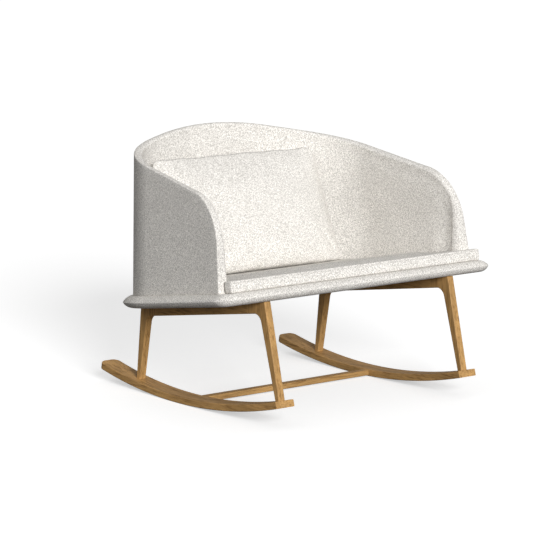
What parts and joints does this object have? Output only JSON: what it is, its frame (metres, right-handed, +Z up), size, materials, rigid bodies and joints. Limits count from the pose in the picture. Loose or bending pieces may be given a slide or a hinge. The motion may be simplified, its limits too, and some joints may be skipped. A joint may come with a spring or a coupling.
{
  "type": "teak rocking chair",
  "caption": "Wide upholstered rocking chair: a wrap-around shell and loose cushions on a tilted seat base, carried by teak legs on curved rockers joined by a stretcher.",
  "frame": {"origin": "on the floor, under the middle of the object's bounding box", "axes": "+X to the right seen from the front, the front faces -Y, +Z up"},
  "size_m": [1.0338, 0.8915, 0.7864],
  "materials": {
    "teak": "satin",
    "dowel_wood": "matte",
    "plywood": "matte",
    "upholstery": "matte",
    "cushion_fabric": "matte",
    "filling": "matte",
    "steel": "satin",
    "brass": "satin"
  },
  "bodies": {
    "base": {"left_rocker": "teak", "right_rocker": "teak", "left_front_leg": "teak", "right_front_leg": "teak", "left_rear_leg": "teak", "right_rear_leg": "teak", "left_top_rail": "teak", "right_top_rail": "teak", "stretcher": "teak", "foot_dowels": "dowel_wood", "rail_dowels": "dowel_wood", "stretcher_dowels": "dowel_wood", "seat_board": "plywood", "shell_panel": "plywood", "base_top_pad": "upholstery", "base_under_pad": "upholstery", "shell_outer_cover": "upholstery", "shell_inner_pad": "upholstery", "shell_rim_roll": "upholstery", "frame_bolts": "steel", "shell_studs": "steel", "frame_bolt_inserts": "brass", "shell_stud_inserts": "brass"},
    "seat_cushion": {"seat_cushion_cover": "cushion_fabric", "seat_cushion_foam": "filling", "front_strip_foam": "filling"},
    "back_pillow": {"back_pillow_cover": "cushion_fabric", "back_pillow_filling": "filling"}
  },
  "joints": [
    {"name": "seat_cushion_slide", "type": "slide", "parent": "base", "child": "seat_cushion", "axis": [0, -0.9877, 0.1564], "range_m": [0, 0.25]},
    {"name": "back_pillow_lift", "type": "slide", "parent": "seat_cushion", "child": "back_pillow", "axis": [0, -0.1908, 0.9816], "range_m": [0, 0.25]}
  ]
}
